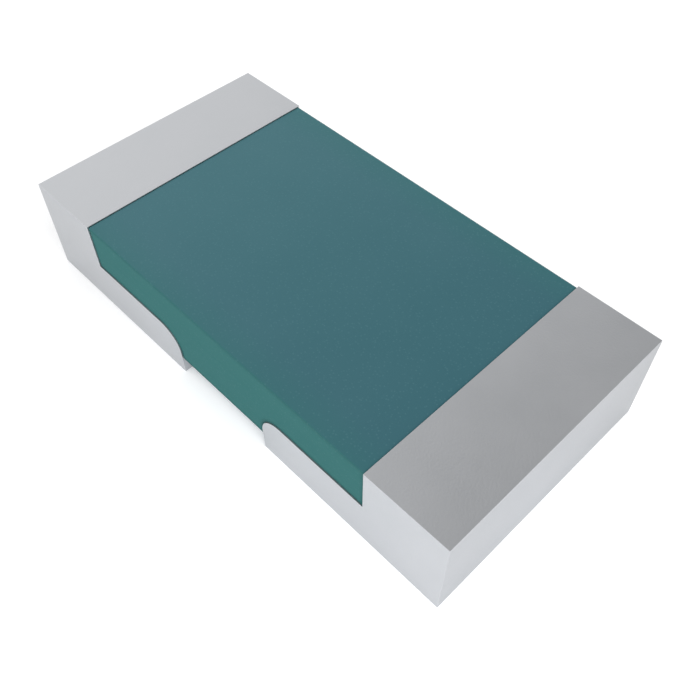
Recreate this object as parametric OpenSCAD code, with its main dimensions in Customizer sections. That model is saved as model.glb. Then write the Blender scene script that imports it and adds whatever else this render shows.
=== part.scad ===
// Low-ohm chip resistor for surface mounting.
// A flat strip of resistive alloy bridges two solid end terminals, and an epoxy body is moulded round it. The
// terminals stand a hair proud of the body on top and along both sides. A lip on each of them reaches in under
// the body and lifts it off the board.
// X runs from terminal to terminal, Y across the chip and Z up from the board. The origin is the centre of
// the footprint, on the plane of the two solder pads.

/* [Chip] */
// Overall length, from end face to end face
chip_length = 3.2; // [2.8:0.05:4]
// Overall width, across the terminals
chip_width = 1.6; // [1:0.05:2.4]
// Overall height, from the solder pads to the top face
chip_height = 0.635; // [0.55:0.005:0.9]

/* [Terminals] */
// Length of each terminal's top face along the chip
terminal_top = 0.51; // [0.3:0.01:0.8]
// Length of each solder pad along the chip
pad_length = 1.25; // [1:0.01:1.35]
// Height of the lip that reaches in under the body
lip_height = 0.32; // [0.22:0.01:0.4]
// Radius of the lip's upper inner corner
lip_radius = 0.15; // [0.05:0.01:0.2]

/* [Body] */
// Gap between the board and the body's underside
body_standoff = 0.12; // [0.04:0.01:0.2]
// Step from the terminals' faces in to the body, on top and along both sides
body_setback = 0.007; // [0.002:0.001:0.03]
// Rounding along the body's two long top edges
body_edge_radius = 0.008; // [0.005:0.001:0.08]

/* [Resistive strip] */
// Thickness of the strip, which lies on the two lips
strip_thickness = 0.15; // [0.05:0.01:0.25]
// Thickness of epoxy over each long edge of the strip
strip_side_cover = 0.12; // [0.05:0.01:0.25]
// Width of each trim slot
slot_width = 0.08; // [0.04:0.01:0.15]
// Depth of each trim slot, from the strip's long edge
slot_depth = 0.5; // [0.2:0.01:0.7]
// Distance between the two trim slots along the chip
slot_spacing = 0.3; // [0.2:0.01:0.5]

/* [Hidden] */
$fn = 64;

tin_colour = [0.79, 0.80, 0.82];
alloy_colour = [0.60, 0.54, 0.48];
epoxy_colour = [0.27, 0.45, 0.47];

body_top = chip_height - body_setback;
body_width = chip_width - 2 * body_setback;

// The strip fills the span between the terminals' inner faces.
strip_length = chip_length - 2 * terminal_top;
strip_width = body_width - 2 * strip_side_cover;

// Carries a side outline, drawn in X and Z, across the chip's whole width.
module across_chip() {
    rotate([90, 0, 0])
        linear_extrude(height = chip_width, center = true)
            children();
}

// Carries an end outline, drawn in Y and Z, along the chip's whole length.
module along_chip() {
    rotate([90, 0, 90])
        linear_extrude(height = chip_length, center = true)
            children();
}

// Side outline of the left lip: flat on the board, with its upper inner corner rounded.
module lip_outline() {
    translate([-chip_length / 2, 0]) {
        square([pad_length - lip_radius, lip_height]);
        square([pad_length, lip_height - lip_radius]);
        translate([pad_length - lip_radius, lip_height - lip_radius])
            circle(r = lip_radius);
    }
}

// Side outline of the left terminal: the lip and the full-height block behind it.
module terminal_outline() {
    lip_outline();
    translate([-chip_length / 2, 0])
        square([terminal_top, chip_height]);
}

// Side outline of the body: a block between the terminals, cut away where the two lips reach in.
module body_outline() {
    difference() {
        translate([-strip_length / 2, body_standoff])
            square([strip_length, body_top - body_standoff]);
        lip_outline();
        mirror([1, 0])
            lip_outline();
    }
}

// End outline of the body, with its two top corners rounded.
module body_section() {
    corner_y = body_width / 2 - body_edge_radius;
    corner_z = body_top - body_edge_radius;
    translate([-body_width / 2, 0])
        square([body_width, corner_z]);
    translate([-corner_y, 0])
        square([2 * corner_y, body_top]);
    for (side = [-1, 1])
        translate([side * corner_y, corner_z])
            circle(r = body_edge_radius);
}

// Plan of one trim slot, cut in from the strip's +Y edge to a round end.
module trim_slot() {
    end_radius = slot_width / 2;
    end_y = strip_width / 2 - slot_depth + end_radius;
    translate([slot_spacing / 2, end_y]) {
        circle(r = end_radius);
        translate([-end_radius, 0])
            square([slot_width, slot_depth]);
    }
}

// The strip: a flat blank trimmed to its value by a slot from each long edge.
module strip_solid() {
    translate([0, 0, lip_height])
        linear_extrude(height = strip_thickness)
            difference() {
                square([strip_length, strip_width], center = true);
                trim_slot();
                rotate(180)
                    trim_slot();
            }
}

// Copper terminal at the -X end, tin plated all over.
module left_terminal() {
    color(tin_colour)
        across_chip()
            terminal_outline();
}

// Copper terminal at the +X end, the left one's mirror image.
module right_terminal() {
    color(tin_colour)
        across_chip()
            mirror([1, 0])
                terminal_outline();
}

// Alloy strip that sets the resistance, lying on both lips and butting both terminals.
module resistive_strip() {
    color(alloy_colour)
        strip_solid();
}

// Epoxy body, moulded round the strip and into its trim slots.
module moulded_body() {
    color(epoxy_colour)
        difference() {
            intersection() {
                across_chip()
                    body_outline();
                along_chip()
                    body_section();
            }
            strip_solid();
        }
}

left_terminal();
right_terminal();
resistive_strip();
moulded_body();
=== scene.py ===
import math

import bpy
import numpy as np
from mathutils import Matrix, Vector


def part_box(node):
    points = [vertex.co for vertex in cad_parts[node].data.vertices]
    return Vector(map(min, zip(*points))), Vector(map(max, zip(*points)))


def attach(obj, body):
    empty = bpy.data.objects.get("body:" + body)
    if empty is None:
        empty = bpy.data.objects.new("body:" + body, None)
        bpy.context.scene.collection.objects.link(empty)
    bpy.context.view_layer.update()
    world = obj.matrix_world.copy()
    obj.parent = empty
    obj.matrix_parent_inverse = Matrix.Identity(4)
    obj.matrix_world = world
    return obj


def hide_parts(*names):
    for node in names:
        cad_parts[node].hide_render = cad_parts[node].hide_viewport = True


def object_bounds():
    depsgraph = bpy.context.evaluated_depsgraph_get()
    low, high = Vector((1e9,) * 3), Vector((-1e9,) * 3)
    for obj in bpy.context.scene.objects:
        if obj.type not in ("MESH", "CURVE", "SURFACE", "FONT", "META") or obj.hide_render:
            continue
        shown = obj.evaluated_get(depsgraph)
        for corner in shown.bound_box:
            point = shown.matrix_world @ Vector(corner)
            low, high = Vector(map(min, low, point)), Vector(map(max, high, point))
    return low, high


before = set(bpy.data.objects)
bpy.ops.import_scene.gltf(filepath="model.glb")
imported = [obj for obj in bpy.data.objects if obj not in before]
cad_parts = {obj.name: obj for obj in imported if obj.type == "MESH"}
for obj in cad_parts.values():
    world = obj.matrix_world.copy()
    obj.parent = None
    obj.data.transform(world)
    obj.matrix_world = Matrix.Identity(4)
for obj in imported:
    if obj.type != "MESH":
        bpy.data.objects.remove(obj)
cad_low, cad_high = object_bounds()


# End terminals.
# Each is a block of copper, cut from a bar of L section and plated all over with nickel and matte tin.
# Its lip reaches in under the body, and the tin is faintly burnished along the edges from handling.
MM = 0.001
half_length = cad_high.x
half_width = cad_high.y
chip_height = cad_high.z
strip_low, strip_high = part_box("resistive_strip")
riser_x = strip_high.x
lip_height = strip_low.z
lip_end_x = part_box("right_terminal")[0].x
lip_radius = 0.15 * MM
terminal_edge = 0.004 * MM
inner_edge = 0.002 * MM
terminal_border = 0.004 * MM
least_radius = 0.001 * MM
arc_steps = 20
rim_steps = 6


def rounded_outline(corner, radii, insets):
    """Closed outline in X and Z, drawn once for each row of insets, with every corner turned into an arc.

    The corners are in anticlockwise order, each with its radius and, in a row, its inset. A side's outward
    normal is its direction turned a quarter turn clockwise, and a corner's mitre is the sum of its two
    sides' normals over 1 plus the cosine of the turn between them. An inset moves the corner back along its
    mitre and takes itself off the radius, or adds to it where the outline turns inwards. The arc's centre
    lies the radius times the mitre inside the corner, and each point is the centre plus the radius times the
    normal, which swings evenly from one side's to the next side's. The crest follows half a sine wave along
    an outer arc, 1 halfway and 0 at both ends, and it is 0 all along an inner one.
    """
    arriving = corner - np.roll(corner, 1, axis=0)
    arriving /= np.linalg.norm(arriving, axis=1, keepdims=True)
    leaving = np.roll(arriving, -1, axis=0)
    turn_sine = arriving[:, 0] * leaving[:, 1] - arriving[:, 1] * leaving[:, 0]
    turn_cosine = (arriving * leaving).sum(axis=1)
    turn = np.arctan2(turn_sine, turn_cosine)
    way = np.sign(turn)
    first_normal = np.stack([arriving[:, 1], -arriving[:, 0]], axis=1)
    last_normal = np.roll(first_normal, -1, axis=0)
    mitre = (first_normal + last_normal) / (1 + turn_cosine)[:, None]
    radius = way * np.maximum(radii - way * insets, least_radius)
    centre = corner - (insets + radius)[:, :, None] * mitre
    along = np.linspace(0, 1, arc_steps)
    angle = np.arctan2(first_normal[:, 1], first_normal[:, 0])[:, None] + turn[:, None] * along
    normals = np.stack([np.cos(angle), np.sin(angle)], axis=2)
    points = centre[:, :, None] + radius[:, :, None, None] * normals
    crest = np.sin(math.pi * along) * (turn > 0)[:, None]
    return points.reshape(len(insets), -1, 2), normals.reshape(-1, 2), crest.ravel()


def ring_piece(name, points, facing, values):
    """Closed piece with its skin stretched over rings of points and a flat cap at each end.

    A patch joins each point to the next one round its ring, and those two to their fellows on the next ring.
    Facing is the surface's normal at each point, and the mesh keeps each of the values under its name.
    """
    rings, count = points.shape[:2]
    here = np.arange(rings * count).reshape(rings, count)
    ahead = np.roll(here, -1, axis=1)
    quads = np.stack([here[:-1], here[1:], ahead[1:], ahead[:-1]], axis=2).reshape(-1, 4)
    caps = [here[0].tolist(), here[-1, ::-1].tolist()]
    mesh = bpy.data.meshes.new(name)
    mesh.from_pydata(points.reshape(-1, 3).tolist(), [], quads.tolist() + caps, shade_flat=False)
    mesh.normals_split_custom_set_from_vertices(facing.reshape(-1, 3).tolist())
    for key, value in values.items():
        layer = mesh.attributes.new(key, "FLOAT", "POINT")
        layer.data.foreach_set("value", value.ravel().astype(np.float32))
    piece = bpy.data.objects.new(name, mesh)
    bpy.context.scene.collection.objects.link(piece)
    return piece


def swept_block(name, corners, reach, border):
    """Solid block: an outline carried across the chip, as far as its reach each way, with rounded rims.

    A corner is given as its place, its radius and the radius of the rims there, and a rim tapers evenly from
    one corner to the next. A ring is drawn for each angle a along the two rims, a quarter turn each. It is
    the outline, inset by the rim's radius times 1 - cos a, and lies that radius times sin a beyond the
    straight stretch. The surface normal leans from the outline's normal towards the side face by the same
    angle. One more ring lies on each side face, a border's width inside its rim.

    Two values go with the surface. Side is the square of sin a, so it is 1 on the side faces and 0 between
    the rims. Edge is the greater of side and of the crest times the square of cos a, and on a side face it
    fades from 1 at the rim to 0 over the border.
    """
    corner_x, corner_z, radii, rim = np.array(corners).T
    quarter = np.linspace(0, math.pi / 2, rim_steps)
    angle = np.concatenate([[-math.pi / 2], -quarter[::-1], quarter, [math.pi / 2]])
    inside_rim = np.zeros((len(angle), 1))
    inside_rim[[0, -1]] = 1
    insets = np.outer(1 - np.cos(angle), rim) + border * inside_rim
    outline, normals, crest = rounded_outline(np.stack([corner_x, corner_z], axis=1), radii, insets)
    rings, count = outline.shape[:2]
    hand = np.repeat([-1, 1], rings // 2)
    across = np.outer(hand, reach - rim) + np.outer(np.sin(angle), rim)
    points = np.empty((rings, count, 3))
    points[:, :, 0::2] = outline
    points[:, :, 1] = np.repeat(across, arc_steps, axis=1)
    facing = np.empty_like(points)
    facing[:, :, 0::2] = np.cos(angle)[:, None, None] * normals
    facing[:, :, 1] = np.sin(angle)[:, None]
    lean = np.sin(angle)[:, None] ** 2
    values = {
        "side": lean * np.ones(count),
        "edge": np.maximum(lean - inside_rim, crest * (1 - lean)),
    }
    return ring_piece(name, points, facing, values)


def new_material(name):
    """New node material: returns it with its node tree, its Principled shader and the Object coordinates."""
    material = bpy.data.materials.new(name)
    material.use_nodes = True
    tree = material.node_tree
    shader = tree.nodes["Principled BSDF"]
    place = tree.nodes.new("ShaderNodeTexCoord")
    return material, tree, shader, place.outputs["Object"]


def feed(tree, socket, value):
    """Sets a socket to a value, or links another node's output to it."""
    if isinstance(value, bpy.types.NodeSocket):
        tree.links.new(value, socket)
    else:
        socket.default_value = value


def set_inputs(tree, node, **inputs):
    """Feeds a node's inputs by name."""
    for key, value in inputs.items():
        feed(tree, node.inputs[key.replace("_", " ")], value)


def add_node(tree, kind, settings=(), **inputs):
    """New node of a kind, with its settings and its inputs."""
    node = tree.nodes.new(kind)
    for key, value in dict(settings).items():
        setattr(node, key, value)
    set_inputs(tree, node, **inputs)
    return node


def work_out(tree, operation, *values):
    """Result of an arithmetic operation on values, which are numbers or other nodes' outputs."""
    arithmetic = add_node(tree, "ShaderNodeMath", {"operation": operation})
    for socket, value in zip(arithmetic.inputs, values):
        feed(tree, socket, value)
    return arithmetic.outputs["Value"]


def ramp_value(tree, value, start=0.0, end=1.0, low=0.0, high=1.0):
    """Value that runs from low to high as another one runs from start to end, and is level beyond them."""
    ramp = add_node(tree, "ShaderNodeMapRange", Value=value,
                    From_Min=start, From_Max=end, To_Min=low, To_Max=high)
    return ramp.outputs["Result"]


def mix_colours(tree, share, first, second):
    """Colour that runs from the first to the second as the share goes from 0 to 1."""
    mix = add_node(tree, "ShaderNodeMix", {"data_type": "RGBA"}, Factor=share, A=first, B=second)
    return mix.outputs["Result"]


def surface_value(tree, name):
    """Value that the piece's mesh carries under this name."""
    return add_node(tree, "ShaderNodeAttribute", {"attribute_name": name}).outputs["Fac"]


def raised_normal(tree, height, relief):
    """Surface normal tilted by a height, which counts as this depth of relief in metres."""
    bump = add_node(tree, "ShaderNodeBump", Height=height, Strength=1.0, Distance=relief)
    return bump.outputs["Normal"]


def grain_group():
    """Shader group for the fine grain of a plated, rolled or moulded skin.

    Cloud is a broad soft mottling, Grain is noise at the size of single grains, and Height is the grain plus
    the cloud times its weight.
    """
    cloud_weight = 2.0
    group = bpy.data.node_groups.new("skin grain", "ShaderNodeTree")
    group.interface.new_socket("Place", in_out="INPUT", socket_type="NodeSocketVector")
    for name in ["Grain Scale", "Cloud Scale"]:
        group.interface.new_socket(name, in_out="INPUT", socket_type="NodeSocketFloat")
    for name in ["Grain", "Cloud", "Height"]:
        group.interface.new_socket(name, in_out="OUTPUT", socket_type="NodeSocketFloat")
    given = group.nodes.new("NodeGroupInput")
    results = group.nodes.new("NodeGroupOutput")
    grain = add_node(group, "ShaderNodeTexNoise", Vector=given.outputs["Place"],
                     Scale=given.outputs["Grain Scale"], Detail=3.0, Roughness=0.6).outputs["Fac"]
    cloud = add_node(group, "ShaderNodeTexNoise", Vector=given.outputs["Place"],
                     Scale=given.outputs["Cloud Scale"], Detail=4.0, Roughness=0.5).outputs["Fac"]
    height = work_out(group, "MULTIPLY_ADD", cloud, cloud_weight, grain)
    set_inputs(group, results, Grain=grain, Cloud=cloud, Height=height)
    return group


skin_grain = grain_group()


def place_grain(tree, place, grain_size, cloud_size):
    """Grain group in a material, for grains and clouds of these sizes in metres."""
    return add_node(tree, "ShaderNodeGroup", {"node_tree": skin_grain}, Place=place,
                    Grain_Scale=1 / grain_size, Cloud_Scale=1 / cloud_size)


dull_tin = (0.50, 0.515, 0.535, 1)
bright_tin = (0.59, 0.60, 0.62, 1)
burnished_tin = (0.56, 0.572, 0.592, 1)
glancing_tint = (0.8, 0.8, 0.8, 1)


def tin_plate():
    """Matte tin plating: pale grey metal with a satin grain, cloudy in tone and burnished on its edges."""
    material, tree, shader, place = new_material("matte tin plating")
    grain = place_grain(tree, place, grain_size=0.012 * MM, cloud_size=0.5 * MM)
    plated = mix_colours(tree, grain.outputs["Cloud"], dull_tin, bright_tin)
    set_inputs(
        tree, shader, Metallic=1.0, Specular_Tint=glancing_tint,
        Base_Color=mix_colours(tree, surface_value(tree, "edge"), plated, burnished_tin),
        Roughness=ramp_value(tree, grain.outputs["Cloud"], low=0.34, high=0.46),
        Normal=raised_normal(tree, grain.outputs["Height"], relief=0.0008 * MM),
    )
    return material


def mirrored(corners):
    """The same corners at the chip's other end: X is negated, and their order is turned round."""
    return [(-x, z, radius, rim) for x, z, radius, rim in reversed(corners)]


# Each corner is its X, its Z, its radius and the radius of the rims there.
right_corners = [
    (lip_end_x, 0, terminal_edge, terminal_edge),
    (half_length, 0, terminal_edge, terminal_edge),
    (half_length, chip_height, terminal_edge, terminal_edge),
    (riser_x, chip_height, inner_edge, inner_edge),
    (riser_x, lip_height, inner_edge, inner_edge),
    (lip_end_x, lip_height, lip_radius, inner_edge),
]
tin = tin_plate()
for node, corners in [("right_terminal", right_corners), ("left_terminal", mirrored(right_corners))]:
    terminal = swept_block("plated_" + node, corners, half_width, terminal_border)
    terminal.data.materials.append(tin)
    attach(terminal, "root")
    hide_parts(node)


# Resistive strip.
# A blank of resistive alloy, rolled flat and welded to both terminals. Two slots trim it to its value, and
# the epoxy seals it in.
dark_alloy = (0.33, 0.27, 0.22, 1)
bright_alloy = (0.44, 0.37, 0.31, 1)
line_squeeze = 0.04


def drawn_out(tree, place):
    """Place squeezed along the chip, so that a grain laid on it comes out as long fine lines."""
    squeezed = add_node(tree, "ShaderNodeMapping", Vector=place, Scale=(line_squeeze, 1, 1))
    return squeezed.outputs["Vector"]


def rolled_alloy():
    """Rolled alloy: warm grey metal with long rolling lines and a satin grain."""
    material, tree, shader, place = new_material("rolled alloy")
    grain = place_grain(tree, drawn_out(tree, place), grain_size=0.01 * MM, cloud_size=0.12 * MM)
    set_inputs(
        tree, shader, Metallic=1.0,
        Base_Color=mix_colours(tree, grain.outputs["Cloud"], dark_alloy, bright_alloy),
        Roughness=ramp_value(tree, grain.outputs["Grain"], low=0.3, high=0.45),
        Normal=raised_normal(tree, grain.outputs["Height"], relief=0.0005 * MM),
    )
    return material


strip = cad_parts["resistive_strip"]
strip.data.materials.clear()
strip.data.materials.append(rolled_alloy())


# Moulded body.
# Teal epoxy, filled with fine silica and transfer moulded round the strip, a hair inside the terminals on
# top and along both sides. Its top keeps the mould's fine bloom, thinner along the long edges, and carries
# painted light and shade: lighter at the left end, darker towards the right. Its sides are ground and show
# the resin's own green, and its edges carry painted shade, deepest low down beside the lips.
body_low, body_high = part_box("moulded_body")
body_edge = 0.008 * MM
seam_edge = 0.005 * MM
body_border = 0.024 * MM
# Skin tones at the two ends: painted light at the left end and painted shade at the right, not a change in
# the resin.
left_skin_painted_light = [(0.050, 0.141, 0.163, 1), (0.058, 0.152, 0.176, 1)]
right_skin_painted_shade = [(0.036, 0.113, 0.137, 1), (0.043, 0.124, 0.149, 1)]
ground_resin = [(0.029, 0.134, 0.1315, 1), (0.037, 0.1465, 0.144, 1)]
ground_roughness = 0.8
bloom_edge = body_high.y - 0.2 * MM
bare_share = 0.35
seam_shade = (0.022, 0.094, 0.092, 1)
deep_shade_top = lip_height + 0.02 * MM
light_shade_start = lip_height + 0.1 * MM
light_shade = 0.4
filler_tone = (0.09, 0.21, 0.235, 1)
filler_spacing = 0.02 * MM
filler_share = 0.25
speck_core = 0.1
speck_rim = 0.3


def skin_tone(tree, axes, cloud, ground_tone):
    """Moulded skin: cloudy blue-grey with painted light and shade, lighter at the left and darker towards the
    right, with some ground tone at the long edges.
    """
    painted_lit_tone = mix_colours(tree, cloud, *left_skin_painted_light)
    painted_shaded_tone = mix_colours(tree, cloud, *right_skin_painted_shade)
    # Painted light and shade: the skin darkens from the left end towards the right.
    painted_shade_share = ramp_value(tree, axes.outputs["X"], start=-riser_x, end=riser_x)
    bloom_with_painted_light = mix_colours(tree, painted_shade_share, painted_lit_tone, painted_shaded_tone)
    off_centre = work_out(tree, "ABSOLUTE", axes.outputs["Y"])
    bareness = ramp_value(tree, off_centre, start=bloom_edge, end=body_high.y, high=bare_share)
    return mix_colours(tree, bareness, bloom_with_painted_light, ground_tone)


def edge_shade(tree, axes):
    """Share of shade along the edges: the whole edge value low down beside the lips, and less higher up."""
    strength = ramp_value(tree, axes.outputs["Z"], start=deep_shade_top, end=light_shade_start,
                          low=1.0, high=light_shade)
    return work_out(tree, "MULTIPLY", surface_value(tree, "edge"), strength)


def filler_specks(tree, place):
    """Share of pale filler: the whole share within a speck's core, fading to none at its rim."""
    speck = add_node(tree, "ShaderNodeTexVoronoi", Vector=place, Scale=1 / filler_spacing)
    return ramp_value(tree, speck.outputs["Distance"], start=speck_core, end=speck_rim,
                      low=filler_share, high=0.0)


def mix_values(tree, share, first, second):
    """Value that runs from the first to the second as the share goes from 0 to 1."""
    return add_node(tree, "ShaderNodeMix", Factor=share, A=first, B=second).outputs["Result"]


def teal_epoxy():
    """Filled epoxy: a blue-grey moulded skin, greener ground sides, shaded edges and fine filler specks."""
    material, tree, shader, place = new_material("teal epoxy")
    axes = add_node(tree, "ShaderNodeSeparateXYZ", Vector=place)
    side = surface_value(tree, "side")
    skin = place_grain(tree, place, grain_size=0.016 * MM, cloud_size=0.45 * MM)
    ground = place_grain(tree, drawn_out(tree, place), grain_size=0.012 * MM, cloud_size=0.06 * MM)
    ground_tone = mix_colours(tree, ground.outputs["Cloud"], *ground_resin)
    moulded_tone = skin_tone(tree, axes, skin.outputs["Cloud"], ground_tone)
    clean_resin = mix_colours(tree, side, moulded_tone, ground_tone)
    resin = mix_colours(tree, edge_shade(tree, axes), clean_resin, seam_shade)
    height = mix_values(tree, side, skin.outputs["Height"], ground.outputs["Height"])
    skin_roughness = ramp_value(tree, skin.outputs["Grain"], low=0.42, high=0.58)
    set_inputs(
        tree, shader, Specular_IOR_Level=0.09,
        Base_Color=mix_colours(tree, filler_specks(tree, place), resin, filler_tone),
        Roughness=mix_values(tree, side, skin_roughness, ground_roughness),
        Normal=raised_normal(tree, height, relief=0.001 * MM),
    )
    return material


right_half = [
    (lip_end_x, body_low.z, seam_edge, seam_edge),
    (lip_end_x, lip_height, lip_radius, seam_edge),
    (riser_x, lip_height, seam_edge, seam_edge),
    (riser_x, body_high.z, seam_edge, body_edge),
]
body = swept_block("epoxy_body", right_half + mirrored(right_half), body_high.y, body_border)
body.data.materials.append(teal_epoxy())
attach(body, "root")
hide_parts("moulded_body")


# Studio.
# A pale paper floor with a painted glow, stronger towards the near right, lies under a plain dome.
# The dome is bright near the horizon and on the viewer's side, dimmer overhead on the far side, and brighter
# there to the left. One broad soft light comes from beyond the right end and isn't seen in reflections.
floor_half = 0.2
floor_drop = 0.002 * MM
paper_tone = (0.9, 0.9, 0.9, 1)
left_floor_glow = (0.12, 0.122, 0.125, 1)
right_floor_glow = (0.32, 0.33, 0.345, 1)
glow_turn = math.radians(56)
glow_start = -0.05 * MM
glow_end = 0.9 * MM
horizon_glow = 1.15
near_glow = 0.8
far_right_glow = 0.275
far_left_glow = 1.52
rise_start = 0.35
rise_end = 0.6
viewer_turn = math.radians(45)
near_start = -0.25
near_end = 0.07
key_energy = 1.5
key_angle = math.radians(50)
key_from = Vector((1.0, -0.25, 0.9))


def turned_axes(tree, place, turn):
    """X, Y and Z of a place or direction, once it is turned about the upright axis."""
    turned = add_node(tree, "ShaderNodeMapping", Vector=place, Rotation=(0, 0, turn))
    return add_node(tree, "ShaderNodeSeparateXYZ", Vector=turned.outputs["Vector"])


def pale_paper():
    """Matte paper with a painted glow that grows along one line across the floor."""
    material, tree, shader, place = new_material("pale paper")
    axes = turned_axes(tree, place, glow_turn)
    lit_share = ramp_value(tree, axes.outputs["X"], start=glow_start, end=glow_end)
    set_inputs(
        tree, shader, Base_Color=paper_tone, Roughness=0.9, Specular_IOR_Level=0.1,
        Emission_Color=mix_colours(tree, lit_share, left_floor_glow, right_floor_glow),
        Emission_Strength=1.0,
    )
    return material


def studio_dome():
    """World lit by direction: overhead, a far glow that grows to the left gives way to an even near glow.

    The horizon's glow gives way to both as the direction rises.
    """
    world = bpy.data.worlds.new("studio dome")
    world.use_nodes = True
    tree = world.node_tree
    direction = tree.nodes.new("ShaderNodeTexCoord").outputs["Generated"]
    axes = add_node(tree, "ShaderNodeSeparateXYZ", Vector=direction)
    viewer_axes = turned_axes(tree, direction, viewer_turn)
    far_glow = ramp_value(tree, axes.outputs["X"], end=-1.0, low=far_right_glow, high=far_left_glow)
    nearness = ramp_value(tree, viewer_axes.outputs["X"], start=near_start, end=near_end)
    rise = ramp_value(tree, axes.outputs["Z"], start=rise_start, end=rise_end)
    overhead = mix_values(tree, nearness, far_glow, near_glow)
    brightness = mix_values(tree, rise, horizon_glow, overhead)
    set_inputs(tree, tree.nodes["Background"], Color=(1, 1, 1, 1), Strength=brightness)
    return world


floor_square = np.array([(-1, -1), (1, -1), (1, 1), (-1, 1)]) * floor_half
floor_points = np.column_stack([floor_square, np.full(len(floor_square), -floor_drop)])
floor_mesh = bpy.data.meshes.new("floor")
floor_mesh.from_pydata(floor_points.tolist(), [], [range(len(floor_square))])
floor_mesh.materials.append(pale_paper())
floor = bpy.data.objects.new("floor", floor_mesh)
bpy.context.scene.collection.objects.link(floor)

bpy.context.scene.world = studio_dome()

key_data = bpy.data.lights.new("soft key", "SUN")
key_data.energy = key_energy
key_data.angle = key_angle
key = bpy.data.objects.new("soft key", key_data)
key.rotation_mode = "QUATERNION"
key.rotation_quaternion = key_from.to_track_quat("Z", "Y")
key.visible_glossy = False
bpy.context.scene.collection.objects.link(key)

bpy.context.scene.view_settings.view_transform = "Standard"


# Camera.
# It looks down on the chip from beyond its right end and near side, as in the photograph.
camera_azimuth = math.radians(45.6)
camera_elevation = math.radians(52.2)
camera_distance = 4.445 * MM
camera_aim = Vector((0.378, -0.183, 0.3175)) * MM
camera_back = Vector((
    math.sin(camera_azimuth) * math.cos(camera_elevation),
    -math.cos(camera_azimuth) * math.cos(camera_elevation),
    math.sin(camera_elevation),
))
camera_data = bpy.data.cameras.new("camera")
camera_data.sensor_width = 36.0
camera_data.lens = 42.18
camera_data.clip_start = 0.1 * MM
camera_data.clip_end = 1.0
camera = bpy.data.objects.new("camera", camera_data)
camera.location = camera_aim + camera_back * camera_distance
camera.rotation_mode = "QUATERNION"
camera.rotation_quaternion = camera_back.to_track_quat("Z", "Y")
bpy.context.scene.collection.objects.link(camera)
bpy.context.scene.camera = camera
